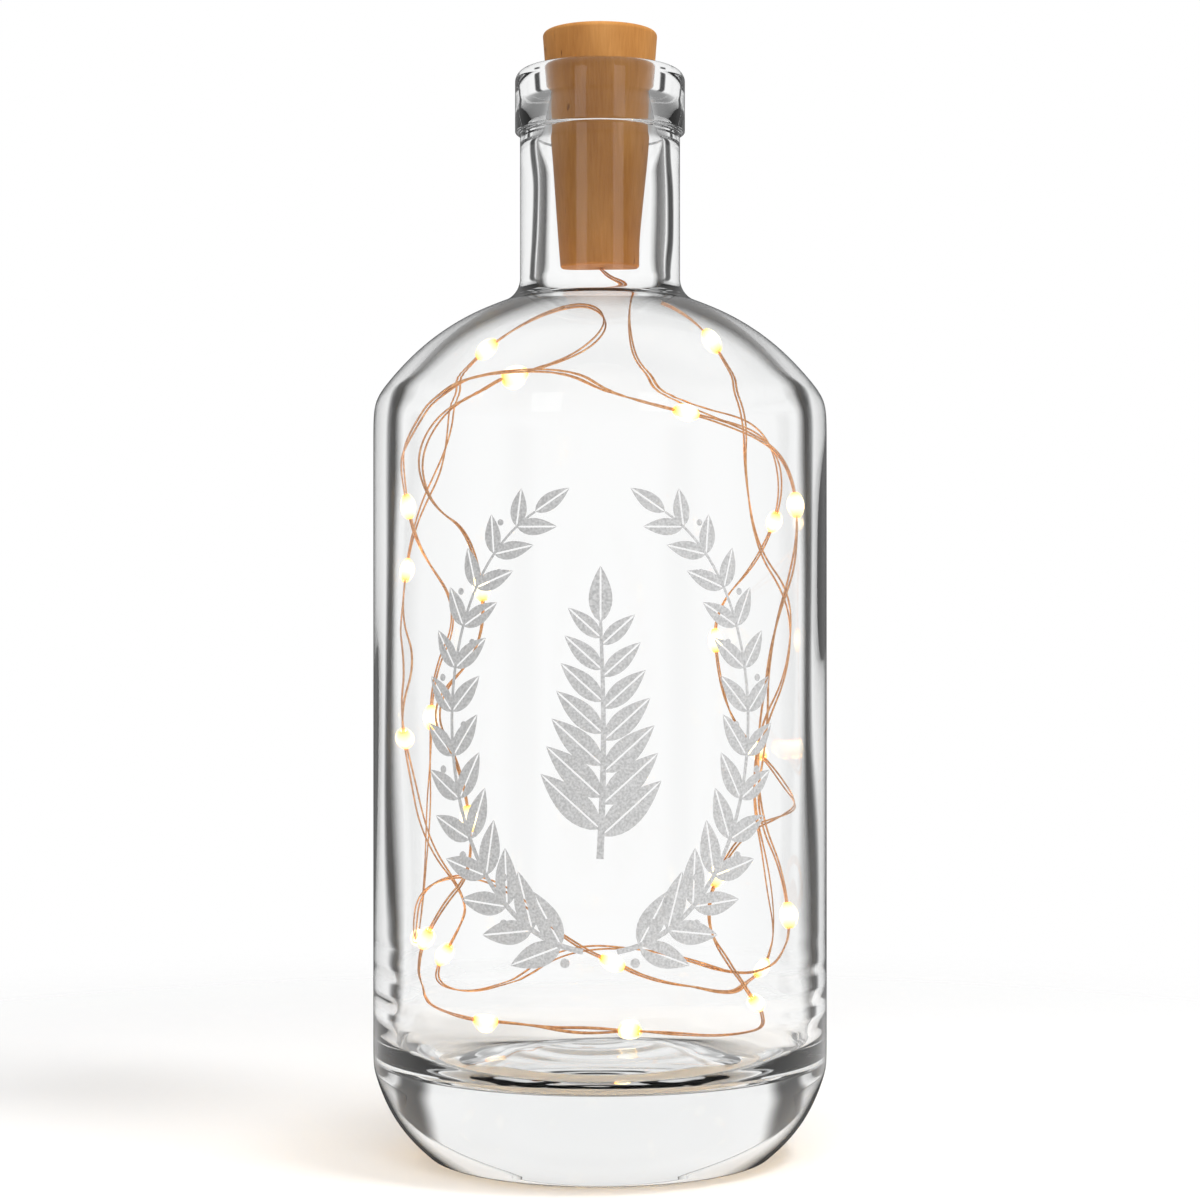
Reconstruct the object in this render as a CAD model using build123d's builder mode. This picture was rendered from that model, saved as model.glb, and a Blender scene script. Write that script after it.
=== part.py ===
"""Cork bottle light: glass bottle, cork-shaped battery light and a string of micro-LEDs.

Millimetres, +Z up. The bottle stands on Z = 0 with its axis on the Z axis, and the side that the
photograph shows faces -Y.
"""
from build123d import *
import os
from math import pi, radians, tan

# Glass bottle
bottle_height = 207.0
body_radius = 43.25
body_wall = 3.25
foot_inset = 10.95
foot_ring_width = 5.3
punt_slope_width = 9.0
punt_height = 2.6
heel_mid_inset = 3.45
heel_mid_height = 6.3
heel_height = 17.0
heel_mid_round = 26.0
heel_top_round = 6.0
shoulder_height = 143.7
shoulder_width = 12.0
shoulder_rise = 14.35
shoulder_round = 8.0
crown_rise = 5.8
crown_round = 45.0
neck_radius = 15.3
neck_wall = 3.0
lip_overhang = 0.95
lip_length = 12.0
lip_round = 2.2
floor_height = 17.2
floor_round = 7.0
floor_rim_width = 11.0
floor_dome_radius = 10.0
floor_dome_rise = 4.2
mouth_seat_length = 5.0
mouth_flare_length = 9.0

# Cork-shaped light
cork_length = 45.4
cork_projection = 7.4
cork_top_radius = 11.0
cork_foot_radius = 7.55
cork_wall = 1.3
cork_floor = 1.8
wire_hole_radius = 0.75
seat_clearance = 0.08
slide_clearance = 0.15
block_clearance = 0.05

# Inside of the light
block_height = 6.0
contact_space = 5.2
contact_thickness = 0.4
contact_width = 2.4
contact_play = 0.05
contact_reach = 3.6
bend_radius = 0.45
carrier_floor = 1.4
cell_radius = 5.8
cell_height = 5.4
cell_count = 3
cell_clearance = 0.2
leaf_root = 1.6
leaf_foot_plus = 3.2
leaf_foot_minus = 2.2
leaf_elbow_height = 2.4
leaf_elbow_out = 0.7
leaf_elbow_in = 0.6
touch_length = 1.6
pad_length = 2.7
spring_space = 1.5
strip_recess = 0.44
slot_clearance = 0.1
board_space = 2.6
board_thickness = 1.0
board_clearance = 0.1
board_ledge = 0.8
carrier_rim = 1.0
resistor_length = 3.2
resistor_width = 1.6
resistor_height = 0.6
switch_length = 8.6
switch_width = 3.8
switch_height = 3.5
switch_cover = 0.4
switch_travel = 2.0
switch_clearance = 0.1
pin_radius = 0.3
pin_pitch = 2.5
pin_length = 0.8
slider_length = 3.2
slider_width = 1.6
slider_height = 0.8
stem_length = 1.6
stem_width = 1.2
stem_proud = 0.7
cap_recess = 1.2
cap_plate = 1.6
cap_wall = 1.2
nail_recess_radius = 3.0
nail_recess_depth = 1.0

# Light string
wire_radius = 0.4
bend_share = 0.45
drop_length = 4.8
drop_radius = 1.6
drop_tip_radius = 0.62
drop_bore_clearance = 0.15
chip_length = 1.6
chip_width = 1.0
chip_height = 0.6
chip_clearance = 0.03

# Course of the wire, chosen by hand after the photograph: the lead that follows the cork, then the
# string through the bottle
lead_route = [(0, 0, 176.4), (0.2, 0.1, 172.2), (0, 0, 167), (7, -1.8, 164.6)]
string_route = [
    (5, -6.5, 157.5), (7, -10, 147.5), (18.5, -13.5, 141), (31, -4, 138.5),
    (37, 7, 128.5), (33, 18.5, 114), (23, 30, 104), (24.5, 29, 91.5),
    (28, 25.5, 81), (35, 15, 71), (38.3, 1, 67), (34.5, -14, 66),
    (24.5, -26, 63.5), (17.5, -30, 48.5), (25, -21, 36), (32, -11, 26),
    (25, -5, 22.8), (13.5, -11, 24.8), (-2.5, -0.5, 23.8), (-13, 3.5, 23.5),
    (-31, 0.5, 25.5), (-34.5, -11.5, 37), (-28.5, -20.5, 49), (-22, -26.5, 57),
    (-24, -28, 75), (-31, -21, 86), (-19.5, -28, 98), (-22.5, -27.5, 117.5),
    (-30.5, -20, 123), (-33.5, -14, 134), (-25.2, -18, 144), (-6, -14, 149),
    (2.3, -12, 155.5), (-2, -4, 160.5), (-15.5, 2.5, 157.5), (-28.5, 5.5, 148.7),
    (-30, 9, 135), (-36.5, 9, 120), (-37.5, -1, 103), (-34.5, -11, 94),
    (-36.5, -9, 85), (-37, 3, 74), (-33, -6, 61), (-24, -12, 50),
    (-26, -6, 43.5), (-32, -1, 33.5), (-26, 3, 29.5), (-15, 6, 33),
    (-5, 9, 38.5), (8, 6, 38.5), (18, -3, 37), (28.5, -10, 35),
    (35.5, -11, 40), (34.7, -8, 53), (28.5, -13, 66), (29, -21.5, 82),
    (30.5, -20, 99), (36.8, -8, 115.5), (36.4, -6, 132), (25, -18.5, 138),
    (6, -25, 142), (-8, -23.5, 147.5), (-28.5, -21, 145), (-34.5, -15.5, 136),
    (-37.8, -6, 131), (-34.5, -1, 116), (-29, 20, 103), (-34, 14.5, 91),
    (-34, 13.5, 75), (-34.5, 14.5, 57), (-35.3, 8, 41.5), (-35.3, -6, 41),
    (-33, -13, 53), (-20, -17, 55.5), (-6, -12, 41.5), (10, -8, 34),
    (21, -1, 31), (28, 5, 30.5), (36, 11.5, 38), (33.5, 18.5, 52),
    (30, 14, 66), (31, 9, 80), (36.5, 7.5, 93), (36, -1, 106),
    (29, -9, 116), (26.5, -13, 130), (27, -11.5, 139.5), (24.3, -7.3, 149),
    (17.7, -4.7, 158), (11.5, -5.5, 160),
]
# Runs of the string, counted from 0, whose middle carries an LED
led_runs = [4, 6, 8, 12, 14, 17, 19, 21, 23, 26, 30, 34, 37, 40, 44, 52, 57, 59, 64, 67, 70, 74, 77, 87]

# Levels inside the light, from the cork's foot upwards
cork_top = bottle_height + cork_projection
cork_foot = cork_top - cork_length
cavity_floor = cork_foot + cork_floor
block_top = cavity_floor + block_height
carrier_foot = block_top + contact_space
pocket_floor = carrier_foot + carrier_floor
cell_base = pocket_floor + contact_thickness + contact_play
cell_top = cell_base + cell_count * cell_height
pocket_roof = cell_top + spring_space
deck = pocket_roof + carrier_floor
board_base = deck + board_space
board_top = board_base + board_thickness
switch_top = board_top + switch_height
cap_top = cork_top - cap_recess
cap_plate_base = cap_top - cap_plate
stem_top = cap_top + stem_proud


def cork_radius(level):
    """Outer radius of the tapered cork at a height."""
    rise = (level - cork_foot) / cork_length
    return cork_foot_radius + (cork_top_radius - cork_foot_radius) * rise


def cavity_radius(level):
    """Inner radius of the cork shell at a height."""
    return cork_radius(level) - cork_wall


def insert_radius(level):
    """Radius of what slides in the cork shell at a height."""
    return cavity_radius(level) - slide_clearance


def inset(before, corner, after, distance):
    """Corner of a profile moved to the left of its two lines, both by the same distance."""
    first = (Vector(*corner) - Vector(*before)).normalized()
    second = (Vector(*after) - Vector(*corner)).normalized()
    first_side = Vector(-first.Y, first.X)
    second_side = Vector(-second.Y, second.X)
    moved = Vector(*corner) + (first_side + second_side) * (distance / (1 + first_side.dot(second_side)))
    return (moved.X, moved.Y)


os.makedirs("parts", exist_ok=True)


def save(piece, label):
    """Name a finished piece and write it to its own file."""
    piece.part.label = label
    export_step(piece.part, f"parts/{label}.step")


# Glass bottle: one closed profile turned about the axis
foot_radius = body_radius - foot_inset
foot_ring_inner = foot_radius - foot_ring_width
heel_top = (body_radius, heel_height)
shoulder = (body_radius, shoulder_height)
crown = (body_radius - shoulder_width, shoulder_height + shoulder_rise)
neck_base = (neck_radius, crown[1] + crown_rise)
lip_radius = neck_radius + lip_overhang
inner_radius = body_radius - body_wall
floor_flat_radius = inner_radius - floor_rim_width
inner_neck = neck_radius - neck_wall
inner_shoulder = inset(heel_top, shoulder, crown, body_wall)
inner_crown = inset(shoulder, crown, neck_base, body_wall)
crown_slope = (neck_base[1] - crown[1]) / (neck_base[0] - crown[0])
inner_neck_base = (inner_neck, inner_crown[1] + (inner_neck - inner_crown[0]) * crown_slope)
seat_foot = bottle_height - mouth_seat_length
lip_base = bottle_height - lip_length
bottle_profile = [
    (0, punt_height, 0),
    (foot_ring_inner - punt_slope_width, punt_height, 12),
    (foot_ring_inner, 0, 1.5),
    (foot_radius, 0, 2),
    (body_radius - heel_mid_inset, heel_mid_height, heel_mid_round),
    (*heel_top, heel_top_round),
    (*shoulder, shoulder_round),
    (*crown, crown_round),
    (*neck_base, 3),
    (neck_radius, lip_base, 0.5),
    (lip_radius, lip_base, 0.4),
    (lip_radius, bottle_height, lip_round),
    (cork_radius(bottle_height) + seat_clearance, bottle_height, 0.9),
    (cork_radius(seat_foot) + seat_clearance, seat_foot, 3),
    (inner_neck, seat_foot - mouth_flare_length, 5),
    (*inner_neck_base, 5),
    (*inner_crown, crown_round - body_wall),
    (*inner_shoulder, shoulder_round - body_wall),
    (inner_radius, floor_height, floor_round),
    (floor_flat_radius, floor_height, 30),
    (floor_dome_radius, floor_height + floor_dome_rise, 30),
    (0, floor_height + floor_dome_rise, 0),
]
with BuildPart() as glass_bottle:
    with BuildSketch(Plane.XZ):
        with BuildLine():
            FilletPolyline(
                [(r, z) for r, z, _ in bottle_profile],
                radius=[round_off for _, _, round_off in bottle_profile[1:-1]],
            )
            Line((0, floor_height + floor_dome_rise), (0, punt_height))
        make_face()
    revolve(axis=Axis.Z)
save(glass_bottle, "glass_bottle")

# Cork shell: tapered, open at the top, with the wire's hole in its floor
with BuildPart() as cork_shell:
    with BuildSketch(Plane.XZ):
        with BuildLine():
            FilletPolyline(
                (wire_hole_radius, cork_foot),
                (cork_foot_radius, cork_foot),
                (cork_top_radius, cork_top),
                (cavity_radius(cork_top), cork_top),
                (cavity_radius(cavity_floor), cavity_floor),
                (wire_hole_radius, cavity_floor),
                radius=[0.6, 0.9, 0.2, 0],
            )
            Line((wire_hole_radius, cavity_floor), (wire_hole_radius, cork_foot))
        make_face()
    revolve(axis=Axis.Z)
save(cork_shell, "cork_shell")

# Contact block: plug in the shell's foot that holds the wire's end and the two spring contacts
with BuildPart() as contact_block:
    with BuildSketch(Plane.XZ):
        with BuildLine():
            Polyline(
                (wire_hole_radius, cavity_floor),
                (cavity_radius(cavity_floor) - block_clearance, cavity_floor),
                (cavity_radius(block_top) - block_clearance, block_top),
                (wire_hole_radius, block_top),
                close=True,
            )
        make_face()
    revolve(axis=Axis.Z)
save(contact_block, "contact_block")


def spring_strip(plane, points, radius):
    """Bent strip of contact metal: a line of the strip's thickness, as wide as the contacts."""
    with BuildPart() as strip:
        with BuildSketch(plane):
            with BuildLine():
                FilletPolyline(points, radius=radius)
            trace(line_width=contact_thickness)
        extrude(amount=contact_width / 2, both=True)
    return strip


half_strip = contact_thickness / 2
foot_level = block_top + half_strip
touch_level = carrier_foot - contact_thickness - contact_play - half_strip
strip_level = -(insert_radius(carrier_foot) - strip_recess)
plus_touch = -contact_reach + pad_length / 2
minus_touch = strip_level + pad_length / 2
plus_knee = -leaf_root - leaf_foot_plus
minus_knee = -leaf_root - leaf_foot_minus
base_contact_plus = spring_strip(
    Plane.XZ,
    [
        (-leaf_root, foot_level),
        (plus_knee, foot_level),
        (plus_knee - leaf_elbow_out, block_top + leaf_elbow_height),
        (plus_touch - touch_length / 2, touch_level),
        (plus_touch + touch_length / 2, touch_level),
    ],
    bend_radius,
)
save(base_contact_plus, "base_contact_plus")
base_contact_minus = spring_strip(
    Plane.YZ,
    [
        (-leaf_root, foot_level),
        (minus_knee, foot_level),
        (minus_knee + leaf_elbow_in, block_top + leaf_elbow_height),
        (minus_touch + touch_length / 2, touch_level),
        (minus_touch - touch_length / 2, touch_level),
    ],
    bend_radius,
)
save(base_contact_minus, "base_contact_minus")

# Battery carrier: tapered plug with a side pocket for the cells and a tray for the board
pocket_radius = cell_radius + cell_clearance
board_radius = insert_radius(board_base) - carrier_rim - board_clearance
tray_radius = board_radius - board_ledge
slot_inner = contact_reach - bend_radius - slot_clearance
slot_outer = contact_reach + half_strip + slot_clearance
slot_width = contact_width + 2 * slot_clearance
with BuildPart() as battery_carrier:
    with BuildSketch(Plane.XZ):
        with BuildLine():
            Polyline(
                (0, carrier_foot),
                (insert_radius(carrier_foot), carrier_foot),
                (insert_radius(board_top), board_top),
                (board_radius + board_clearance, board_top),
                (board_radius + board_clearance, board_base),
                (tray_radius, board_base),
                (tray_radius, deck),
                (0, deck),
                close=True,
            )
        make_face()
    revolve(axis=Axis.Z)
    with BuildSketch(Plane.XY.offset(pocket_floor)):
        Circle(pocket_radius)
        Rectangle(2 * pocket_radius, 2 * cork_top_radius, align=(Align.CENTER, Align.MIN))
    extrude(amount=pocket_roof - pocket_floor, mode=Mode.SUBTRACT)
    with BuildSketch(Plane.XY.offset(carrier_foot)):
        with Locations((0, strip_level + half_strip + slot_clearance / 2)):
            Rectangle(slot_width, cork_top_radius, align=(Align.CENTER, Align.MAX))
    extrude(amount=board_base - carrier_foot, mode=Mode.SUBTRACT)
    with BuildSketch(Plane.XY.offset(carrier_foot)):
        with Locations((0, strip_level + bend_radius + slot_clearance)):
            Rectangle(slot_width, cork_top_radius, align=(Align.CENTER, Align.MAX))
    extrude(amount=bend_radius + slot_clearance, mode=Mode.SUBTRACT)
    with BuildSketch(Plane.XY.offset(carrier_foot)):
        with Locations((-(slot_inner + slot_outer) / 2, 0)):
            Rectangle(slot_outer - slot_inner, slot_width)
    extrude(amount=deck - carrier_foot, mode=Mode.SUBTRACT)
save(battery_carrier, "battery_carrier")

# Three button cells, stacked with the can downwards
for number in range(cell_count):
    base = cell_base + number * cell_height
    with BuildPart() as battery_cell:
        with BuildSketch(Plane.XZ):
            with BuildLine():
                FilletPolyline(
                    (0, base),
                    (cell_radius, base),
                    (cell_radius, base + 0.92 * cell_height),
                    (0.86 * cell_radius, base + 0.92 * cell_height),
                    (0.83 * cell_radius, base + cell_height),
                    (0, base + cell_height),
                    radius=[0.4, 0.3, 0, 0.3],
                )
                Line((0, base + cell_height), (0, base))
            make_face()
        revolve(axis=Axis.Z)
    save(battery_cell, f"battery_cell_{number + 1}")

# Strips in the carrier: lower pole, upper pole with its spring tongue, and the way back down
lower_contact = spring_strip(
    Plane.XZ,
    [
        (contact_reach, pocket_floor + half_strip),
        (-contact_reach, pocket_floor + half_strip),
        (-contact_reach, carrier_foot - half_strip),
        (-contact_reach + pad_length, carrier_foot - half_strip),
    ],
    bend_radius,
)
save(lower_contact, "lower_contact")
upper_contact = spring_strip(
    Plane.XZ,
    [
        (-contact_reach, board_base - contact_play),
        (-contact_reach, pocket_roof - half_strip),
        (contact_reach - half_strip, pocket_roof - half_strip),
        (contact_reach + half_strip, pocket_roof - 0.55 * spring_space),
        (contact_reach / 3, cell_top + half_strip + contact_play),
    ],
    [bend_radius, 0.3, 0.3],
)
save(upper_contact, "upper_contact")
return_strip = spring_strip(
    Plane.YZ,
    [
        (strip_level + pad_length, carrier_foot - half_strip),
        (strip_level, carrier_foot - half_strip),
        (strip_level, board_base - contact_play),
    ],
    bend_radius,
)
save(return_strip, "return_strip")

# Round board with holes for the switch pins, and the resistor under it
with BuildPart() as circuit_board:
    with BuildSketch(Plane.XY.offset(board_base)):
        Circle(board_radius)
        with GridLocations(pin_pitch, 0, 3, 1):
            Circle(pin_radius + board_clearance, mode=Mode.SUBTRACT)
    extrude(amount=board_thickness)
save(circuit_board, "circuit_board")
with BuildPart() as resistor:
    with BuildSketch(Plane.XY.offset(board_base)):
        with Locations((0, tray_radius / 2)):
            Rectangle(resistor_length, resistor_width)
    extrude(amount=-resistor_height)
save(resistor, "resistor")

# Slide switch: case with a covered channel, three pins and the slider, which rests at "on"
channel_floor = switch_top - switch_cover - slider_height - 2 * switch_clearance
stem_slot_length = stem_length + switch_travel + 4 * switch_clearance
stem_slot_width = stem_width + 4 * switch_clearance
with BuildPart() as switch_case:
    with BuildSketch(Plane.XY.offset(board_top)):
        Rectangle(switch_length, switch_width)
    extrude(amount=switch_height)
    with BuildSketch(Plane.XY.offset(channel_floor)):
        Rectangle(slider_length + switch_travel + 2 * switch_clearance, slider_width + 2 * switch_clearance)
    extrude(amount=slider_height + 2 * switch_clearance, mode=Mode.SUBTRACT)
    with BuildSketch(Plane.XY.offset(switch_top)):
        Rectangle(stem_slot_length, stem_slot_width)
    extrude(amount=-switch_cover, mode=Mode.SUBTRACT)
save(switch_case, "switch_case")
with BuildPart() as switch_pins:
    with BuildSketch(Plane.XY.offset(board_top)):
        with GridLocations(pin_pitch, 0, 3, 1):
            Circle(pin_radius)
    extrude(amount=-(board_thickness + pin_length))
save(switch_pins, "switch_pins")
with BuildPart() as switch_slider:
    with BuildSketch(Plane.XY.offset(channel_floor + switch_clearance)):
        with Locations((switch_travel / 2, 0)):
            Rectangle(slider_length, slider_width)
    extrude(amount=slider_height)
    with BuildSketch(Plane.XY.offset(channel_floor + switch_clearance + slider_height)):
        with Locations((switch_travel / 2, 0)):
            Rectangle(stem_length, stem_width)
    extrude(amount=stem_top - channel_floor - switch_clearance - slider_height)
save(switch_slider, "switch_slider")

# Top cap of the carrier with the slider's slot and two recesses for the finger nails
hollow_radius = insert_radius(board_top) - cap_wall
with BuildPart() as top_cap:
    with BuildSketch(Plane.XZ):
        with BuildLine():
            FilletPolyline(
                (hollow_radius, board_top),
                (insert_radius(board_top), board_top),
                (insert_radius(cap_top), cap_top),
                (0, cap_top),
                (0, cap_plate_base),
                (hollow_radius, cap_plate_base),
                radius=[0, 0.5, 0, 0],
            )
            Line((hollow_radius, cap_plate_base), (hollow_radius, board_top))
        make_face()
    revolve(axis=Axis.Z)
    with BuildSketch(Plane.XY.offset(cap_plate_base)):
        Rectangle(stem_slot_length, stem_slot_width)
    extrude(amount=cap_plate, mode=Mode.SUBTRACT)
    with BuildSketch(Plane.XY.offset(cap_top - nail_recess_depth)):
        with Locations((0, cork_top_radius), (0, -cork_top_radius)):
            Circle(nail_recess_radius + cork_wall)
    extrude(amount=2 * nail_recess_depth, mode=Mode.SUBTRACT)
save(top_cap, "top_cap")


def bend_radii(points):
    """Largest bend at each inner point that leaves the neighbouring runs a straight middle."""
    radii = []
    for before, corner, after in zip(points, points[1:], points[2:]):
        arrive = Vector(*corner) - Vector(*before)
        leave = Vector(*after) - Vector(*corner)
        turn = arrive.get_angle(leave)
        radii.append(bend_share * min(arrive.length, leave.length) / tan(radians(turn / 2)))
    return radii


def wire_tube(points, radii):
    """Round wire along straight runs joined by tangent bends."""
    with BuildPart() as tube:
        with BuildLine() as course:
            FilletPolyline(points, radius=radii)
        line = course.wire()
        with BuildSketch(Plane(origin=line @ 0, z_dir=line % 0)):
            Circle(wire_radius)
        sweep()
    share = tube.part.volume / (pi * wire_radius**2 * line.length)
    print(f"wire of {line.length:.1f} mm, its volume is {share:.4f} of section by length")
    return tube


# The wire: a short lead that follows the cork, and the string that lies in the bottle
radii = bend_radii(lead_route + string_route)
print("bend radii of the wire, mm:", " ".join(f"{value:.1f}" for value in radii))
meeting = (Vector(*lead_route[-1]) + Vector(*string_route[0])) / 2
meeting = (meeting.X, meeting.Y, meeting.Z)
lead_bends = len(lead_route) - 1
string_lead = wire_tube(lead_route + [meeting], radii[:lead_bends])
save(string_lead, "string_lead")
light_string = wire_tube([meeting] + string_route, radii[lead_bends:])
save(light_string, "light_string")

# LED drops: clear epoxy on the wire, each round a chip that sits on the wire
bore_radius = wire_radius + drop_bore_clearance
chip_base = bore_radius + chip_clearance
with BuildPart() as led_chips:
    for number, run in enumerate(led_runs, 1):
        start = Vector(*string_route[run])
        along = Vector(*string_route[run + 1]) - start
        middle = start + along / 2
        across = along.cross(Vector(0, -1, 0.2)).normalized()
        drop_plane = Plane(origin=middle, x_dir=along, z_dir=across)
        with BuildPart(mode=Mode.PRIVATE) as led_drop:
            with BuildSketch(drop_plane):
                with BuildLine():
                    Polyline(
                        (-drop_length / 2, drop_tip_radius),
                        (-drop_length / 2, bore_radius),
                        (drop_length / 2, bore_radius),
                        (drop_length / 2, drop_tip_radius),
                    )
                    ThreePointArc(
                        (drop_length / 2, drop_tip_radius),
                        (0, drop_radius),
                        (-drop_length / 2, drop_tip_radius),
                    )
                make_face()
            revolve(axis=Axis(middle, along))
            with BuildSketch(drop_plane.offset(-chip_width / 2 - chip_clearance)):
                with Locations((0, bore_radius - 0.1)):
                    Rectangle(
                        chip_length + 2 * chip_clearance,
                        chip_height + 2 * chip_clearance + 0.1,
                        align=(Align.CENTER, Align.MIN),
                    )
            extrude(amount=chip_width + 2 * chip_clearance, mode=Mode.SUBTRACT)
        save(led_drop, f"led_drop_{number:02d}")
        with BuildSketch(drop_plane.offset(-chip_width / 2)):
            with Locations((0, chip_base)):
                Rectangle(chip_length, chip_height, align=(Align.CENTER, Align.MIN))
        extrude(amount=chip_width)
save(led_chips, "led_chips")
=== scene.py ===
"""Cork bottle light: looks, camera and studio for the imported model.

The sizes repeated from the source, the wire's route, the turned profiles and the engraving are in
millimetres, all other lengths in metres.
"""
import math

import bmesh
import bpy
from mathutils import Matrix, Vector, noise


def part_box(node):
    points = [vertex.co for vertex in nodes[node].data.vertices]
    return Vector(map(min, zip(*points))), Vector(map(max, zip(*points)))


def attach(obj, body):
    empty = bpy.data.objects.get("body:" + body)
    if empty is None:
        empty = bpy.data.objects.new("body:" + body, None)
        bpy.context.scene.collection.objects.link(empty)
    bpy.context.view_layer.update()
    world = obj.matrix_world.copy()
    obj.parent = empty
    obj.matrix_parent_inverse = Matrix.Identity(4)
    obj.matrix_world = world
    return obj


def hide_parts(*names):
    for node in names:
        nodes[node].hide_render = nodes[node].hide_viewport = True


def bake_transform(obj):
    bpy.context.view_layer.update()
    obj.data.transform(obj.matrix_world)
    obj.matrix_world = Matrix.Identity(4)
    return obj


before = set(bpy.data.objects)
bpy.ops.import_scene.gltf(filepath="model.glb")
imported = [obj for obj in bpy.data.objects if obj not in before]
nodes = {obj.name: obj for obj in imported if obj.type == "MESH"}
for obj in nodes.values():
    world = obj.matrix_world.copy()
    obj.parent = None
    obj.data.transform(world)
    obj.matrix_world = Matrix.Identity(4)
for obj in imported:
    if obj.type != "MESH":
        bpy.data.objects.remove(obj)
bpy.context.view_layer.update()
scene = bpy.context.scene
scene.view_settings.view_transform = "Standard"
MM = 0.001
DROPS = [f"led_drop_{number:02d}" for number in range(1, 25)]

# Sizes repeated from the part's source
BODY_RADIUS = 43.25
CORK_FOOT = 169.0
CORK_TOP = 214.4
CORK_FOOT_RADIUS = 7.55
CORK_TOP_RADIUS = 11.0


def cork_radius(level):
    """Outer radius of the cork at a height."""
    rise = (level - CORK_FOOT) / (CORK_TOP - CORK_FOOT)
    return CORK_FOOT_RADIUS + (CORK_TOP_RADIUS - CORK_FOOT_RADIUS) * rise


# Camera: level, in front of the bottle
CAMERA_DISTANCE = 0.517
CAMERA_HEIGHT = 0.1022
camera = bpy.data.objects.new("camera", bpy.data.cameras.new("camera"))
scene.collection.objects.link(camera)
scene.camera = camera
camera.location = (0, -CAMERA_DISTANCE, CAMERA_HEIGHT)
camera.rotation_euler = (math.radians(90), 0, 0)
camera.data.lens = 81
camera.data.sensor_width = 36
camera.data.shift_y = 0.0155
camera.data.clip_start = 0.01


def mesh_object(name, mesh):
    """New object in the scene, smooth shaded."""
    mesh.polygons.foreach_set("use_smooth", [True] * len(mesh.polygons))
    made = bpy.data.objects.new(name, mesh)
    scene.collection.objects.link(made)
    return made


def finished_mesh(name, made):
    """Mesh with the faces of a bmesh, which is freed."""
    mesh = bpy.data.meshes.new(name)
    made.to_mesh(mesh)
    made.free()
    return mesh


def node(tree, kind, inputs=None, **settings):
    """New shader node with its settings, and its inputs set to values or linked to sockets."""
    made = tree.nodes.new(kind)
    for key, value in settings.items():
        setattr(made, key, value)
    for key, value in (inputs or {}).items():
        if isinstance(value, bpy.types.NodeSocket):
            tree.links.new(value, made.inputs[key])
        else:
            made.inputs[key].default_value = value
    return made


def ramp(tree, factor, stops):
    """Colour ramp; returns its colour socket."""
    made = node(tree, "ShaderNodeValToRGB", {"Fac": factor})
    elements = made.color_ramp.elements
    while len(elements) < len(stops):
        elements.new(0.5)
    for element, (place, colour) in zip(elements, stops):
        element.position = place
        element.color = (*colour, 1)
    return made.outputs["Color"]


def grey(level):
    """Colour of three equal parts."""
    return level, level, level


def calculated(tree, operation, *values):
    """Value worked out from values; returns its socket."""
    return node(tree, "ShaderNodeMath", dict(enumerate(values)), operation=operation).outputs["Value"]


def mixed(tree, factor, first, second):
    """Value between two values; returns its socket."""
    return node(tree, "ShaderNodeMix", {"Factor": factor, "A": first, "B": second}).outputs["Result"]


def eased_range(tree, value, start, end, low, high):
    """Smooth change from low to high while a value goes from start to end; returns its socket."""
    return node(tree, "ShaderNodeMapRange", {
        "Value": value, "From Min": start, "From Max": end, "To Min": low, "To Max": high,
    }, interpolation_type="SMOOTHSTEP").outputs["Result"]


def material(name):
    """New node material; returns it with its tree and its principled shader."""
    made = bpy.data.materials.new(name)
    made.use_nodes = True
    tree = made.node_tree
    return made, tree, tree.nodes["Principled BSDF"]


def scaled_place(tree, scale):
    """Position on the object, stretched by a scale, in units per metre."""
    place = node(tree, "ShaderNodeTexCoord").outputs["Object"]
    return node(tree, "ShaderNodeMapping", {"Vector": place, "Scale": scale}).outputs["Vector"]


def noise_pattern(tree, scale, detail, roughness=0.5):
    """Noise on the object, stretched by a scale; returns its socket."""
    return node(tree, "ShaderNodeTexNoise", {
        "Vector": scaled_place(tree, scale), "Scale": 1.0, "Detail": detail, "Roughness": roughness,
    }).outputs["Fac"]


def paint(obj, made):
    """The object shows this material alone."""
    obj.data.materials.clear()
    obj.data.materials.append(made)


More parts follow.
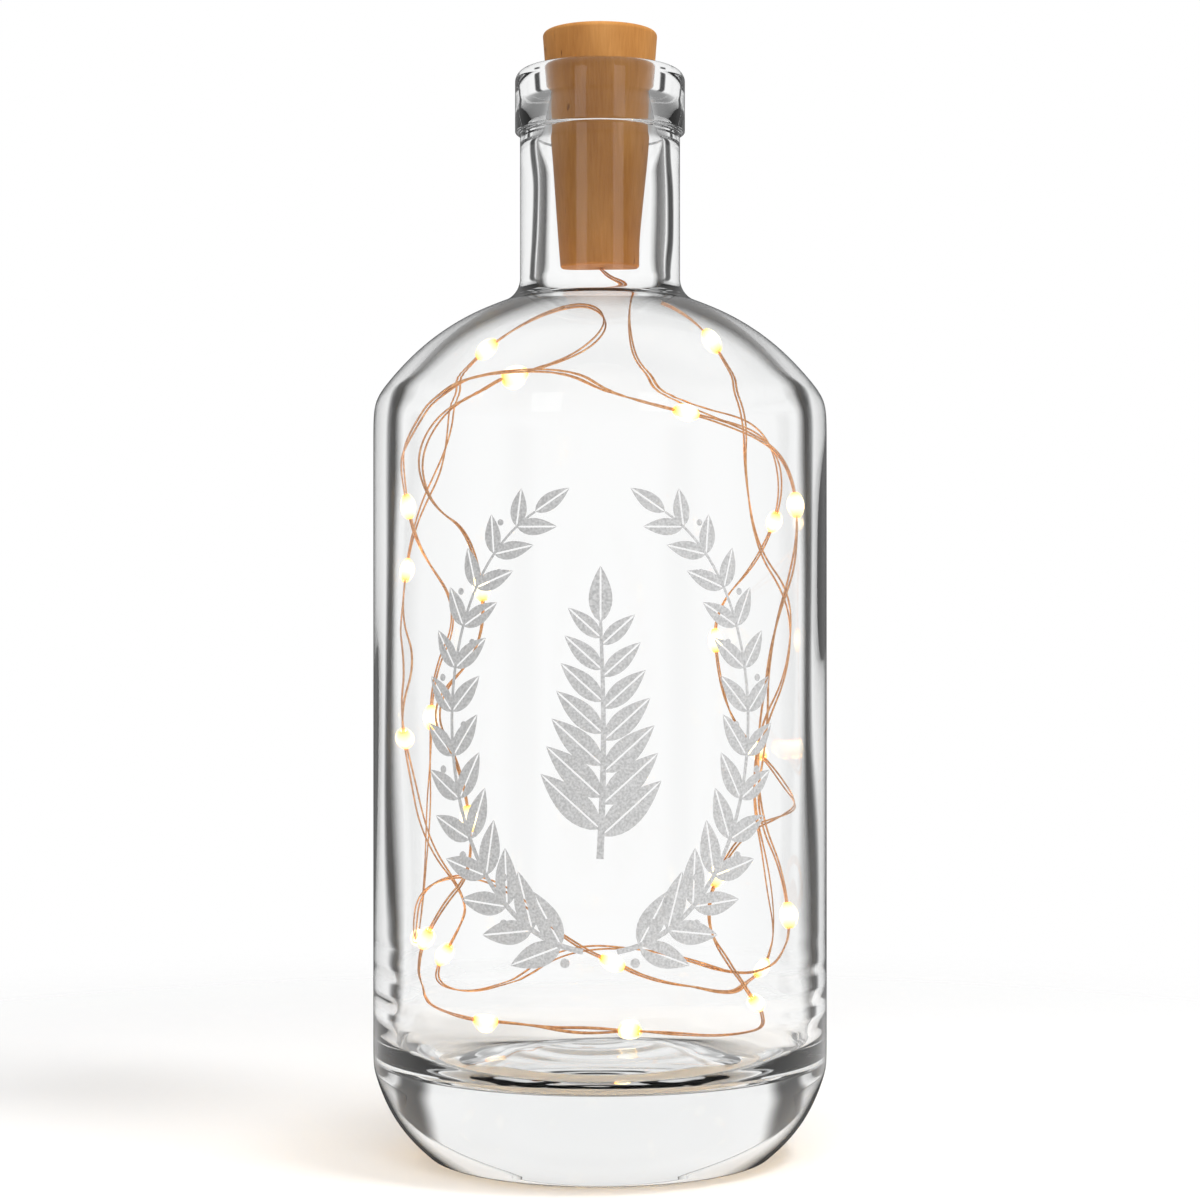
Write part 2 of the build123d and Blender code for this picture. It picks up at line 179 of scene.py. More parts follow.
# The wire's course: the route of the part's source
ROUTE = [
    (0, 0, 176.4), (0.2, 0.1, 172.2), (0, 0, 167), (7, -1.8, 164.6),
    (5, -6.5, 157.5), (7, -10, 147.5), (18.5, -13.5, 141), (31, -4, 138.5),
    (37, 7, 128.5), (33, 18.5, 114), (23, 30, 104), (24.5, 29, 91.5),
    (28, 25.5, 81), (35, 15, 71), (38.3, 1, 67), (34.5, -14, 66),
    (24.5, -26, 63.5), (17.5, -30, 48.5), (25, -21, 36), (32, -11, 26),
    (25, -5, 22.8), (13.5, -11, 24.8), (-2.5, -0.5, 23.8), (-13, 3.5, 23.5),
    (-31, 0.5, 25.5), (-34.5, -11.5, 37), (-28.5, -20.5, 49), (-22, -26.5, 57),
    (-24, -28, 75), (-31, -21, 86), (-19.5, -28, 98), (-22.5, -27.5, 117.5),
    (-30.5, -20, 123), (-33.5, -14, 134), (-25.2, -18, 144), (-6, -14, 149),
    (2.3, -12, 155.5), (-2, -4, 160.5), (-15.5, 2.5, 157.5), (-28.5, 5.5, 148.7),
    (-30, 9, 135), (-36.5, 9, 120), (-37.5, -1, 103), (-34.5, -11, 94),
    (-36.5, -9, 85), (-37, 3, 74), (-33, -6, 61), (-24, -12, 50),
    (-26, -6, 43.5), (-32, -1, 33.5), (-26, 3, 29.5), (-15, 6, 33),
    (-5, 9, 38.5), (8, 6, 38.5), (18, -3, 37), (28.5, -10, 35),
    (35.5, -11, 40), (34.7, -8, 53), (28.5, -13, 66), (29, -21.5, 82),
    (30.5, -20, 99), (36.8, -8, 115.5), (36.4, -6, 132), (25, -18.5, 138),
    (6, -25, 142), (-8, -23.5, 147.5), (-28.5, -21, 145), (-34.5, -15.5, 136),
    (-37.8, -6, 131), (-34.5, -1, 116), (-29, 20, 103), (-34, 14.5, 91),
    (-34, 13.5, 75), (-34.5, 14.5, 57), (-35.3, 8, 41.5), (-35.3, -6, 41),
    (-33, -13, 53), (-20, -17, 55.5), (-6, -12, 41.5), (10, -8, 34),
    (21, -1, 31), (28, 5, 30.5), (36, 11.5, 38), (33.5, 18.5, 52),
    (30, 14, 66), (31, 9, 80), (36.5, 7.5, 93), (36, -1, 106),
    (29, -9, 116), (26.5, -13, 130), (27, -11.5, 139.5), (24.3, -7.3, 149),
    (17.7, -4.7, 158), (11.5, -5.5, 160),
]


def wire_line():
    """Points in metres along the smooth line of the wire, from the light to its bare end."""
    curve = bpy.data.curves.new("wire_line", "CURVE")
    curve.dimensions = "3D"
    curve.resolution_u = 14
    spline = curve.splines.new("NURBS")
    spline.points.add(len(ROUTE) - 1)
    for point, place in zip(spline.points, ROUTE):
        point.co = (*(Vector(place) * MM), 1)
    spline.order_u = 3
    spline.use_endpoint_u = True
    holder = bpy.data.objects.new("wire_line", curve)
    scene.collection.objects.link(holder)
    bpy.context.view_layer.update()
    mesh = bpy.data.meshes.new_from_object(holder)
    line = [vertex.co.copy() for vertex in mesh.vertices]
    bpy.data.objects.remove(holder)
    return line


def box_centre(name):
    """Middle of a CAD node."""
    low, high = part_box(name)
    return (low + high) / 2


drop_centres = [box_centre(name) for name in DROPS]
STRAND_RADIUS = 0.18 * MM
STRAND_SIDES = 7
STRAND_TWIST = 95
CLOSE_TO_DROP = 3 * MM
LOOSE_AFTER = 12 * MM
LEAD_HEIGHT = 0.160
CHIP_SIZE = Vector((1.6, 1.0, 0.6)) * MM


def strand_gap(point, travelled):
    """Half the distance between the two strands: close at the drops and in the cork, looser between."""
    nearest = min((point - centre).length for centre in drop_centres)
    freedom = min(1.0, max(0.0, (nearest - CLOSE_TO_DROP) / LOOSE_AFTER))
    if point.z > LEAD_HEIGHT:
        freedom = 0
    wander = max(0.0, noise.noise(Vector((travelled * 38, 3.1, 0.7))) + 0.20)
    return (0.20 + 0.80 * freedom * wander) * MM


def wire_mesh(line):
    """Two enamelled strands along the line, turning slowly round each other, with a chip in each drop."""
    made = bmesh.new()
    tangents = [(b - a).normalized() for a, b in zip(line, line[1:])]
    tangents.append(tangents[-1])
    side = tangents[0].orthogonal().normalized()
    rings = ([], [])
    travelled = 0.0
    for index, (point, tangent) in enumerate(zip(line, tangents)):
        side = (side - tangent * side.dot(tangent)).normalized()
        up = tangent.cross(side)
        if index:
            travelled += (point - line[index - 1]).length
        turn = travelled * STRAND_TWIST + 1.6 * noise.noise(Vector((travelled * 22, 0.3, 5.2)))
        apart = (side * math.cos(turn) + up * math.sin(turn)) * strand_gap(point, travelled)
        spokes = [
            (side * math.cos(angle) + up * math.sin(angle)) * STRAND_RADIUS
            for angle in (2 * math.pi * k / STRAND_SIDES for k in range(STRAND_SIDES))
        ]
        for ring, centre in zip(rings, (point + apart, point - apart)):
            ring.append([made.verts.new(centre + spoke) for spoke in spokes])
    for strand in rings:
        for first, second in zip(strand, strand[1:]):
            for k in range(STRAND_SIDES):
                following = (k + 1) % STRAND_SIDES
                made.faces.new((first[k], first[following], second[following], second[k]))
        made.faces.new(reversed(strand[0]))
        made.faces.new(strand[-1])
    for centre in drop_centres:
        nearest = min(range(len(line)), key=lambda k: (line[k] - centre).length)
        turn = tangents[nearest].to_track_quat("X", "Z").to_matrix().to_4x4()
        place = Matrix.Translation(centre) @ turn @ Matrix.Diagonal((*CHIP_SIZE, 1))
        chip = bmesh.ops.create_cube(made, size=1, matrix=place)
        for face in {face for vertex in chip["verts"] for face in vertex.link_faces}:
            face.material_index = 1
    bmesh.ops.recalc_face_normals(made, faces=made.faces)
    return finished_mesh("copper_wire", made)


line = wire_line()
wire = mesh_object("copper_wire", wire_mesh(line))
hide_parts("light_string", "string_lead", "led_chips")
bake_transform(wire)

copper, tree, shader = material("copper")
patches = node(tree, "ShaderNodeTexNoise", {
    "Vector": scaled_place(tree, (260, 260, 260)), "Detail": 3,
}).outputs["Fac"]
enamel = ramp(tree, patches, [
    (0.3, (0.52, 0.235, 0.095)), (0.55, (0.70, 0.37, 0.175)), (0.75, (0.86, 0.54, 0.30)),
])
tree.links.new(enamel, shader.inputs["Base Color"])
shader.inputs["Metallic"].default_value = 0.85
shader.inputs["Roughness"].default_value = 0.34
paint(wire, copper)


# Turned shapes; the bottle's corners after this one lie inside it
MOUTH_CORNER = 13


def rounded(corners, step):
    """Points along a profile of corners (radius, height, rounding), each with the corner it belongs to."""
    points = []
    for index, (r, z, rounding) in enumerate(corners):
        here = Vector((r, z))
        if rounding == 0 or index in (0, len(corners) - 1):
            points.append((here, index))
            continue
        arrive = (here - Vector(corners[index - 1][:2])).normalized()
        leave = (Vector(corners[index + 1][:2]) - here).normalized()
        turn = arrive.angle_signed(leave)
        reach = rounding * math.tan(abs(turn) / 2)
        start = here - arrive * reach
        inward = Vector((-arrive.y, arrive.x)) * (-math.copysign(1, turn))
        centre = start + inward * rounding
        steps = max(3, math.ceil(abs(turn) / math.radians(5)), math.ceil(rounding * abs(turn) / step))
        for k in range(steps + 1):
            swing = -turn * k / steps
            arm = start - centre
            points.append((
                centre + Vector((
                    arm.x * math.cos(swing) - arm.y * math.sin(swing),
                    arm.x * math.sin(swing) + arm.y * math.cos(swing),
                )),
                index,
            ))
    fine = [points[0]]
    for (a, index_a), (b, index_b) in zip(points, points[1:]):
        parts = max(1, math.ceil((b - a).length / step))
        for k in range(1, parts + 1):
            fine.append((a.lerp(b, k / parts), index_a if k * 2 < parts else index_b))
    return fine


def softened(profile, corners, passes):
    """Profile whose bends at some corners ease gradually into the straight runs, as in blown glass."""
    for _ in range(passes):
        eased = list(profile)
        for index in range(1, len(profile) - 1):
            place, corner = profile[index]
            if corner in corners:
                eased[index] = ((profile[index - 1][0] + 2 * place + profile[index + 1][0]) / 4, corner)
        profile = eased
    return profile


def fade(value, start, end):
    """Smooth step from 0 at start to 1 at end."""
    share = min(1.0, max(0.0, (value - start) / (end - start)))
    return share * share * (3 - 2 * share)


def painted_edge_shade_depth(z, corner):
    """How far the glass's painted dark edge line reaches inwards, as painted shade: most in the neck, less
    in the body and at the heel.
    """
    if corner > MOUTH_CORNER:
        inwards = 0.17 * fade(z, 20, 30) + 0.20 * fade(z, 152, 168) + 0.08 * fade(z, 164, 172)
        return inwards * fade(z, 197, 188)
    return 0.13 * fade(z, 19, 12)


def lathe(name, profile, segments, wave=None, closed=False):
    """Object turned about the Z axis from a profile; wave(angle, r, z, corner) moves points out and up."""
    made = bmesh.new()
    # Per-vertex depth of the glass's painted dark edge shade
    depth = made.verts.layers.float.new("painted_edge_shade_depth")
    rows = []
    for place, corner in profile:
        if place.x < 1e-6:
            lift = wave(0, 0, place.y, corner)[1] if wave else 0
            rows.append([made.verts.new((0, 0, (place.y + lift) * MM))])
            continue
        row = []
        for k in range(segments):
            angle = 2 * math.pi * k / segments
            out, lift = wave(angle, place.x, place.y, corner) if wave else (0, 0)
            radius = (place.x + out) * MM
            level = (place.y + lift) * MM
            vertex = made.verts.new((radius * math.cos(angle), radius * math.sin(angle), level))
            vertex[depth] = painted_edge_shade_depth(place.y, corner)
            row.append(vertex)
        rows.append(row)
    pairs = list(zip(rows, rows[1:]))
    if closed:
        pairs.append((rows[-1], rows[0]))
    for first, second in pairs:
        for k in range(segments):
            following = (k + 1) % segments
            if len(first) == 1:
                made.faces.new((first[0], second[k], second[following]))
            elif len(second) == 1:
                made.faces.new((first[k], second[0], first[following]))
            else:
                made.faces.new((first[k], second[k], second[following], first[following]))
    bmesh.ops.recalc_face_normals(made, faces=made.faces)
    return mesh_object(name, finished_mesh(name, made))


# Glass bottle: the source's profile, with the slight waves that blown glass has inside
BOTTLE = [
    (0, 2.6, 0), (18, 2.6, 12), (27, 0, 1.5), (32.3, 0, 2), (39.8, 6.3, 26), (BODY_RADIUS, 17, 6),
    (BODY_RADIUS, 143.7, 8), (31.25, 158.05, 45), (15.3, 163.85, 5), (15.3, 195, 0.5), (16.25, 195, 0.4),
    (16.25, 207, 2.2), (cork_radius(207) + 0.08, 207, 0.9), (cork_radius(202) + 0.08, 202, 3),
    (12.3, 193, 5), (12.3, 163.36, 5), (28, 157.65, 45), (40, 143.3, 8), (40, 17.2, 7),
    (29, 17.2, 30), (10, 21.4, 30), (0, 21.4, 0),
]
EASY_CORNERS = (4, 5, 6, 7, 16, 17, 18, 19, 20)
WALL_RING_PITCH = 5.2
FLOOR_RING_PITCH = 5.6


def glass_wave(angle, r, z, corner):
    """Waves of the glass: none outside, soft ones on the inner walls, rings low down and on the floor."""
    if corner <= MOUTH_CORNER:
        return 0.0, 0.0
    if r < 13 and z > 150:
        soft = 0.10 * math.sin(3 * angle + z * 0.11) + 0.07 * math.sin(5 * angle - z * 0.07 + 1)
        return soft * fade(z, 166, 174) * fade(z, 193, 184), 0.0
    if r > 34:
        soft = 0.10 * math.sin(2 * angle + 0.5 + z * 0.02) + 0.08 * math.sin(5 * angle + z * 0.035)
        soft += 0.05 * math.sin(11 * angle - z * 0.06)
        height = 0.04 + 0.07 * fade(abs(math.cos(angle)), 0.72, 0.92)
        rings = height * math.sin(2 * math.pi * z / WALL_RING_PITCH + 0.8 * math.sin(2 * angle))
        rings *= math.exp(-((z - 31) / 9) ** 2)
        return (0.12 + soft) * fade(z, 22, 34) * fade(z, 141, 118) + rings * fade(z, 21, 26), 0.0
    if z < 30:
        rings = 0.13 * math.cos(2 * math.pi * r / FLOOR_RING_PITCH) * math.exp(-((r - 13) / 9) ** 2)
        rings += 0.05 * math.sin(3 * angle + r * 0.2) * fade(r, 2, 9)
        return 0.0, rings * fade(r, 33, 26)
    return 0.0, 0.0


bottle_profile = softened(rounded(BOTTLE, step=1.4), EASY_CORNERS, passes=8)
bottle = lathe("clear_bottle", bottle_profile, segments=168, wave=glass_wave)
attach(bottle, "bottle")
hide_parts("glass_bottle")

glass, tree, shader = material("clear_glass")
facing = node(tree, "ShaderNodeLayerWeight", {"Blend": 0.5}).outputs["Facing"]
# Glass colour: clear face-on, with painted shade darkening it towards the grazing edges
clearness_and_painted_edge_shade = ramp(tree, facing, [
    (0.0, (0.994, 0.996, 0.995)), (0.70, (0.98, 0.985, 0.985)), (0.95, (0.55, 0.56, 0.565)),
])
tree.links.new(clearness_and_painted_edge_shade, shader.inputs["Base Color"])
shader.inputs["Roughness"].default_value = 0.0
shader.inputs["IOR"].default_value = 1.5
shader.inputs["Transmission Weight"].default_value = 1.0
tree.links.new(ramp(tree, facing, [(0.17, grey(0.3)), (0.26, grey(1))]), shader.inputs["Specular Tint"])
# Painted shade: a near-black diffuse mixed into the glass along its grazing edges, reaching further inwards
# where the painted edge depth is larger
depth = node(tree, "ShaderNodeAttribute", attribute_name="painted_edge_shade_depth").outputs["Fac"]
turned = calculated(tree, "ADD", facing, depth)
painted_edge_mix = ramp(tree, turned, [(0.82, grey(0)), (0.90, grey(0.38)), (0.97, grey(0.93))])
dark = node(tree, "ShaderNodeBsdfDiffuse", {"Color": (0.03, 0.031, 0.033, 1)})
glass_with_painted_edges = node(tree, "ShaderNodeMixShader", {"Fac": painted_edge_mix, 1: shader.outputs["BSDF"], 2: dark.outputs["BSDF"]})
light_path = node(tree, "ShaderNodeLightPath")
height = node(tree, "ShaderNodeSeparateXYZ", {"Vector": scaled_place(tree, (5, 5, 5))}).outputs["Z"]
shade = ramp(tree, height, [
    (0.01, grey(0.50)), (0.11, grey(0.55)), (0.28, grey(0.86)),
    (0.50, grey(0.975)), (0.78, grey(0.975)), (0.84, grey(0.64)),
])
clear = node(tree, "ShaderNodeBsdfTransparent", {"Color": shade})
mix = node(tree, "ShaderNodeMixShader", {
    "Fac": light_path.outputs["Is Shadow Ray"], 1: glass_with_painted_edges.outputs["Shader"], 2: clear.outputs["BSDF"],
})
tree.links.new(mix.outputs["Shader"], tree.nodes["Material Output"].inputs["Surface"])
tint = node(tree, "ShaderNodeVolumeAbsorption", {"Color": (0.82, 0.83, 0.83, 1), "Density": 9.0})
tree.links.new(tint.outputs["Volume"], tree.nodes["Material Output"].inputs["Volume"])
paint(bottle, glass)

# Cork shell with the moulded cork grain
WIRE_HOLE_RADIUS = 0.75
CORK_WALL = 1.3
CORK_FLOOR = 170.8
SHELL = [
    (WIRE_HOLE_RADIUS, CORK_FOOT, 0), (CORK_FOOT_RADIUS, CORK_FOOT, 0.6), (CORK_TOP_RADIUS, CORK_TOP, 0.9),
    (CORK_TOP_RADIUS - CORK_WALL, CORK_TOP, 0.2), (cork_radius(CORK_FLOOR) - CORK_WALL, CORK_FLOOR, 0),
    (WIRE_HOLE_RADIUS, CORK_FLOOR, 0),
]
cork = lathe("cork_body", rounded(SHELL, step=1.5), segments=128, closed=True)
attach(cork, "cork")
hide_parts("cork_shell")

cork_look, tree, shader = material("cork_look")
grain = noise_pattern(tree, (2400, 2400, 110), 5, roughness=0.6)
clouds = noise_pattern(tree, (140, 140, 60), 3)
wood = ramp(tree, mixed(tree, 0.6, grain, clouds), [
    (0.30, (0.385, 0.155, 0.036)), (0.50, (0.485, 0.215, 0.056)), (0.70, (0.575, 0.277, 0.083)),
])
flecks = noise_pattern(tree, (850, 850, 240), 2)
fleck_mask = ramp(tree, flecks, [(0.70, grey(0)), (0.76, grey(1))])
coloured = node(tree, "ShaderNodeMix", {
    "Factor": fleck_mask, "A": wood, "B": (0.13, 0.050, 0.014, 1),
}, data_type="RGBA").outputs[2]
tree.links.new(coloured, shader.inputs["Base Color"])
shader.inputs["Roughness"].default_value = 0.55
shader.inputs["Specular IOR Level"].default_value = 0.25
bump = node(tree, "ShaderNodeBump", {"Height": grain, "Strength": 0.25, "Distance": 0.0002})
tree.links.new(bump.outputs["Normal"], shader.inputs["Normal"])
paint(cork, cork_look)
paint(nodes["top_cap"], cork_look)

# LED drops: lit epoxy, whitest in the middle and amber where the wires enter
epoxy, tree, shader = material("lit_epoxy")
place = node(tree, "ShaderNodeTexCoord").outputs["Object"]
middle = node(
    tree, "ShaderNodeAttribute", attribute_type="OBJECT", attribute_name="drop_centre",
).outputs["Vector"]
distance = node(tree, "ShaderNodeVectorMath", {0: place, 1: middle}, operation="DISTANCE").outputs["Value"]
reach = node(tree, "ShaderNodeMapRange", {
    "Value": distance, "From Min": 1.3 * MM, "From Max": 2.4 * MM,
}).outputs["Result"]
glow = ramp(tree, reach, [(0.25, (1.0, 0.965, 0.78)), (0.60, (1.0, 0.87, 0.48)), (1.0, (1.0, 0.52, 0.12))])
tree.links.new(glow, shader.inputs["Emission Color"])
tree.links.new(glow, shader.inputs["Base Color"])
shader.inputs["Emission Strength"].default_value = 0.9
shader.inputs["Roughness"].default_value = 0.12
facing = node(tree, "ShaderNodeLayerWeight", {"Blend": 0.5}).outputs["Facing"]
rim = ramp(tree, facing, [(0.25, grey(1)), (0.60, grey(0.75)), (0.95, grey(0.12))])
tree.links.new(rim, shader.inputs["Alpha"])
epoxy.cycles.emission_sampling = "NONE"
for name, centre in zip(DROPS, drop_centres):
    nodes[name]["drop_centre"] = list(centre)
    nodes[name].visible_shadow = False
    paint(nodes[name], epoxy)


def spotted(name, dark, light, scale, roughness, metallic=0.0, bump_height=0.0):
    """Material of two close tones in a fine pattern, for moulded plastic and metal."""
    made, tree, shader = material(name)
    pattern = noise_pattern(tree, scale, 4)
    tree.links.new(ramp(tree, pattern, [(0.3, dark), (0.7, light)]), shader.inputs["Base Color"])
    shader.inputs["Roughness"].default_value = roughness
    shader.inputs["Metallic"].default_value = metallic
    if bump_height:
        bump = node(tree, "ShaderNodeBump", {"Height": pattern, "Strength": 0.3, "Distance": bump_height})
        tree.links.new(bump.outputs["Normal"], shader.inputs["Normal"])
    return made


MOULDED_BUMP = 0.0001
black_plastic = spotted(
    "black_plastic", (0.012, 0.012, 0.013), (0.03, 0.03, 0.032), (2500, 2500, 2500), 0.5,
    bump_height=MOULDED_BUMP,
)
slider_black = spotted(
    "slider_black", (0.01, 0.01, 0.01), (0.025, 0.025, 0.026), (3500, 3500, 3500), 0.42,
    bump_height=MOULDED_BUMP,
)
plated = spotted(
    "plated_metal", (0.62, 0.57, 0.48), (0.80, 0.76, 0.68), (400, 3000, 3000), 0.28, metallic=1.0,
)
cell_steel = spotted(
    "cell_steel", (0.60, 0.60, 0.60), (0.76, 0.76, 0.77), (300, 300, 4000), 0.25, metallic=1.0,
)
board = spotted("board_green", (0.010, 0.10, 0.035), (0.018, 0.16, 0.06), (900, 900, 900), 0.35)
ceramic = spotted("resistor_black", (0.012, 0.012, 0.012), (0.05, 0.05, 0.05), (3000, 3000, 3000), 0.4)
phosphor = spotted("phosphor", (0.85, 0.58, 0.08), (0.98, 0.78, 0.20), (3000, 3000, 3000), 0.5)
for name, made in {
    "contact_block": black_plastic,
    "battery_carrier": black_plastic,
    "base_contact_plus": plated,
    "base_contact_minus": plated,
    "upper_contact": plated,
    "lower_contact": plated,
    "return_strip": plated,
    "switch_pins": plated,
    "switch_case": cell_steel,
    "battery_cell_1": cell_steel,
    "battery_cell_2": cell_steel,
    "battery_cell_3": cell_steel,
    "circuit_board": board,
    "resistor": ceramic,
    "switch_slider": slider_black,
}.items():
    paint(nodes[name], made)
wire.data.materials.append(phosphor)

# Engraving on the front: a wreath of leaves round an upright sprig
ENGRAVED_RADIUS = BODY_RADIUS + 0.02
WREATH_HEIGHT = 84.0
WREATH_HALF_WIDTH = 28.5
WREATH_HALF_HEIGHT = 40.5
LEAF_PAIRS = 13
SPRIG_FOOT = 60
SPRIG_LENGTH = 42
BERRY_SIDES = 20
engraved = bmesh.new()


def on_glass(across, up):
    """Point of the bottle's front at a distance along its curve and a height."""
    angle = across / ENGRAVED_RADIUS
    return Vector((math.sin(angle), -math.cos(angle), 0)) * ENGRAVED_RADIUS * MM + Vector((0, 0, up * MM))


def leaf(across, up, angle, length, width, vein=0.16):
    """Pointed leaf in two halves with a bare vein between them."""
    along = Vector((math.cos(angle), math.sin(angle)))
    aside = Vector((-along.y, along.x))
    for hand in (1, -1):
        rows = []
        for k in range(11):
            share = k / 10
            belly = width / 2 * math.sin(math.pi * share ** 0.8) ** 0.9
            inner = min(vein, belly * 0.6)
            row = []
            for j in range(4):
                offset = hand * (inner + (belly - inner) * j / 3)
                place = Vector((across, up)) + along * (share * length) + aside * offset
                row.append(engraved.verts.new(on_glass(place.x, place.y)))
            rows.append(row)
        for first, second in zip(rows, rows[1:]):
            for j in range(3):
                engraved.faces.new((first[j], first[j + 1], second[j + 1], second[j]))


def berry(across, up, radius):
    """Round dot."""
    middle = engraved.verts.new(on_glass(across, up))
    turns = [2 * math.pi * k / BERRY_SIDES for k in range(BERRY_SIDES)]
    rings = [
        [
            engraved.verts.new(on_glass(across + reach * math.cos(turn), up + reach * math.sin(turn)))
            for turn in turns
        ]
        for reach in (radius * 0.5, radius)
    ]
    for k in range(BERRY_SIDES):
        following = (k + 1) % BERRY_SIDES
        engraved.faces.new((middle, rings[0][k], rings[0][following]))
        engraved.faces.new((rings[0][k], rings[1][k], rings[1][following], rings[0][following]))


def stem(points, width):
    """Thin line through points, tapering to its end."""
    rows = []
    for k, (across, up) in enumerate(points):
        before = points[max(0, k - 1)]
        after = points[min(len(points) - 1, k + 1)]
        along = (Vector(after) - Vector(before)).normalized()
        aside = Vector((-along.y, along.x)) * (width / 2 * (1 - 0.6 * k / len(points)))
        rows.append([
            engraved.verts.new(on_glass(across + aside.x, up + aside.y)),
            engraved.verts.new(on_glass(across - aside.x, up - aside.y)),
        ])
    for first, second in zip(rows, rows[1:]):
        engraved.faces.new((first[0], first[1], second[1], second[0]))


def wreath_place(turn):
    """Point of the wreath's oval at an angle."""
    return WREATH_HALF_WIDTH * math.cos(turn), WREATH_HEIGHT + WREATH_HALF_HEIGHT * math.sin(turn)


def sprig_sway(up):
    """Sideways bend of the sprig's stem at a height."""
    return 0.6 * math.sin((up - SPRIG_FOOT) / SPRIG_LENGTH * 3)


WREATH_START = math.radians(-84)
WREATH_END = math.radians(66)
for hand in (1, -1):
    branch = [wreath_place(WREATH_START + (WREATH_END - WREATH_START) * k / 60) for k in range(61)]
    stem([(hand * across, up) for across, up in branch], 1.0)
    for k in range(LEAF_PAIRS):
        turn = WREATH_START + (WREATH_END - WREATH_START) * (k + 0.7) / (LEAF_PAIRS + 0.4)
        across, up = wreath_place(turn)
        ahead = wreath_place(turn + 0.01)
        heading = math.atan2(ahead[1] - up, ahead[0] - across)
        size = 1.0 - 0.35 * k / LEAF_PAIRS
        for spread, longer in ((0.72, 1.0), (-0.72, 0.92)):
            angle = heading + spread
            if hand < 0:
                angle = math.pi - angle
            leaf(hand * across, up, angle, 11.0 * size * longer, 4.5 * size)
        across, up = wreath_place(turn - 0.055)
        aside = heading + (1.57 if k % 2 else -1.57)
        berry(hand * (across + 2.7 * math.cos(aside)), up + 2.7 * math.sin(aside), 0.85 * size)
    tip = branch[-1]
    heading = math.atan2(tip[1] - branch[-2][1], tip[0] - branch[-2][0])
    leaf(hand * tip[0], tip[1], heading if hand > 0 else math.pi - heading, 7.5, 3.0)
stem([(sprig_sway(up), up) for up in (SPRIG_FOOT + SPRIG_LENGTH * k / 30 for k in range(31))], 1.3)
for k in range(7):
    up = 64 + 5.6 * k
    size = 1.0 - 0.075 * k
    sway = sprig_sway(up)
    leaf(sway, up, math.radians(42), 14.5 * size, 5.4 * size)
    leaf(sway, up + 1.2, math.radians(138), 14.5 * size, 5.4 * size)
leaf(0.1, 101.5, math.radians(90), 10, 4.2)
bmesh.ops.recalc_face_normals(engraved, faces=engraved.faces)
engraving = mesh_object("engraving", finished_mesh("engraving", engraved))
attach(engraving, "bottle")

frosted, tree, shader = material("frosted_glass")
speckle = noise_pattern(tree, (2600, 2600, 2600), 2)
frost = ramp(tree, speckle, [(0.32, grey(0.40)), (0.5, grey(0.50)), (0.68, grey(0.60))])
tree.links.new(frost, shader.inputs["Base Color"])
shader.inputs["Roughness"].default_value = 0.85
paint(engraving, frosted)

# Light of the LEDs
LED_COLOUR = (1.0, 0.68, 0.32)
LED_POWER = 0.0042
LED_SIZE = 1.5 * MM
for number, centre in enumerate(drop_centres, 1):
    lamp_data = bpy.data.lights.new(f"led_light_{number:02d}", "POINT")
    lamp_data.color = LED_COLOUR
    lamp_data.energy = LED_POWER
    lamp_data.shadow_soft_size = LED_SIZE
    lamp = bpy.data.objects.new(f"led_light_{number:02d}", lamp_data)
    scene.collection.objects.link(lamp)
    lamp.location = centre
    lamp.visible_transmission = False

# Studio: pale floor, white surroundings with dark flags at the corners, soft lamps
FLOOR_RADIUS = 0.36
FLOOR_DROP = 0.0002
SOLID_RADIUS = 0.13
CLEAR_RADIUS = 0.33
floor_shape = bmesh.new()
bmesh.ops.create_circle(floor_shape, cap_ends=True, segments=64, radius=FLOOR_RADIUS)
floor = bpy.data.objects.new("floor", finished_mesh("floor", floor_shape))
scene.collection.objects.link(floor)
floor.location.z = -FLOOR_DROP
pale, tree, shader = material("pale_floor")
shader.inputs["Base Color"].default_value = (0.885, 0.885, 0.885, 1)
shader.inputs["Roughness"].default_value = 0.9
shader.inputs["Specular IOR Level"].default_value = 0.1
place = node(tree, "ShaderNodeTexCoord").outputs["Object"]
away = node(tree, "ShaderNodeVectorMath", {0: place}, operation="LENGTH").outputs["Value"]
solid = eased_range(tree, away, SOLID_RADIUS, CLEAR_RADIUS, 1.0, 0.0)
tree.links.new(solid, shader.inputs["Alpha"])
paint(floor, pale)

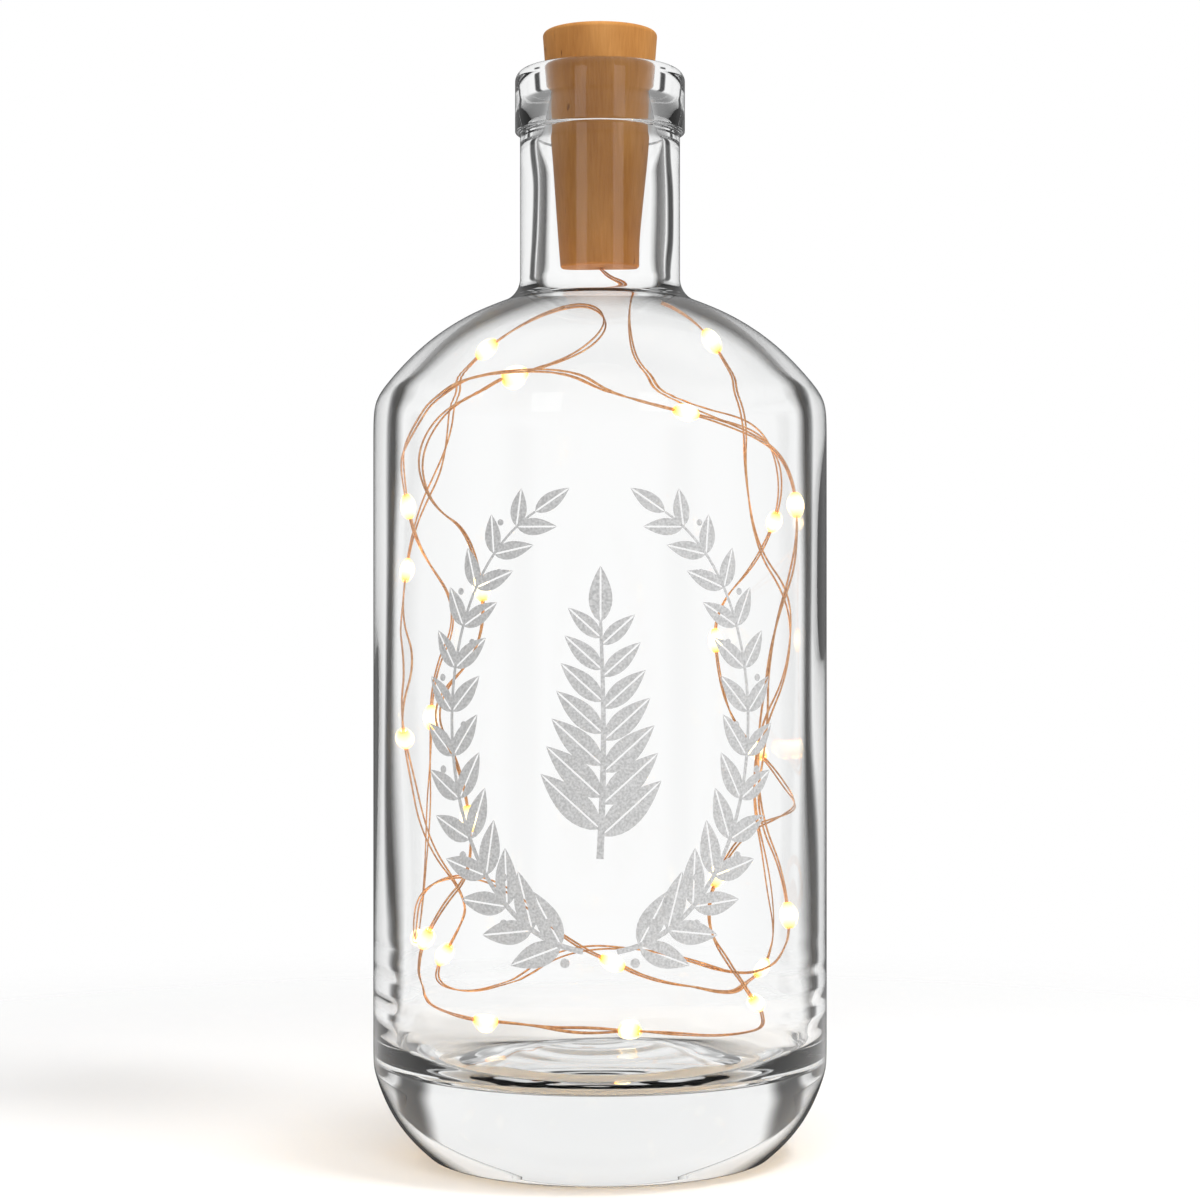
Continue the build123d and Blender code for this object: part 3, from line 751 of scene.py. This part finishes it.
FLAG_COUNT = 4.0
FLAG_LEVEL = 0.05
HIGH_LEVEL = 0.32
MIRRORED_LEVEL = 0.35
AMBIENT_LEVEL = 0.55
AMBIENT_THROUGH_GLASS = 0.42
world = bpy.data.worlds.new("studio")
scene.world = world
world.use_nodes = True
tree = world.node_tree
tree.nodes.clear()
direction = node(tree, "ShaderNodeTexCoord").outputs["Generated"]
axes = node(tree, "ShaderNodeSeparateXYZ", {"Vector": direction}).outputs
bearing = calculated(tree, "ARCTAN2", axes["X"], axes["Y"])
flag_wave = calculated(tree, "COSINE", calculated(tree, "MULTIPLY", bearing, FLAG_COUNT))
flags = eased_range(tree, flag_wave, -0.97, -0.72, FLAG_LEVEL, 1.0)
sky = eased_range(tree, axes["Z"], 0.3, 0.6, 0.0, 1.0)
overhead = eased_range(tree, axes["Z"], 0.66, 0.80, HIGH_LEVEL, 1.0)
ground = eased_range(tree, axes["Z"], -0.17, -0.24, 0.0, 1.0)
around = mixed(tree, ground, mixed(tree, sky, flags, overhead), 1.0)
path = node(tree, "ShaderNodeLightPath").outputs
lit = calculated(tree, "MINIMUM", path["Diffuse Depth"], 1.0)
level = mixed(tree, path["Is Glossy Ray"], AMBIENT_LEVEL, MIRRORED_LEVEL)
level = mixed(tree, path["Is Transmission Ray"], level, around)
ambient = mixed(tree, path["Is Transmission Ray"], AMBIENT_LEVEL, AMBIENT_THROUGH_GLASS)
level = mixed(tree, lit, level, ambient)
level = mixed(tree, path["Is Camera Ray"], level, 1.0)
background = node(tree, "ShaderNodeBackground", {"Color": (1, 1, 1, 1), "Strength": level})
node(tree, "ShaderNodeOutputWorld", {"Surface": background.outputs["Background"]})


def softbox(name, place, target, width, height, power, mirrored=False):
    """Rectangular lamp that faces a point; gloss mirrors it only where asked."""
    data = bpy.data.lights.new(name, "AREA")
    data.shape = "RECTANGLE"
    data.size = width
    data.size_y = height
    data.energy = power
    made = bpy.data.objects.new(name, data)
    scene.collection.objects.link(made)
    made.location = place
    made.rotation_euler = (Vector(target) - Vector(place)).to_track_quat("-Z", "Y").to_euler()
    made.visible_transmission = False
    made.visible_glossy = mirrored


softbox("key", (0.33, -0.22, 0.72), (0, 0, 0.02), 0.16, 0.16, 3.4)
softbox("fill", (-0.40, -0.10, 0.75), (0, 0, 0.02), 0.25, 0.25, 0.7)
softbox("front", (0, -0.62, 0.95), (0, 0, 0.1), 0.5, 0.4, 2.6)
softbox("strip_left", (-0.36, -0.74, 0.345), (0, 0, 0.185), 0.22, 0.24, 0.6, mirrored=True)
softbox("strip_right", (0.36, -0.74, 0.345), (0, 0, 0.185), 0.22, 0.24, 0.6, mirrored=True)
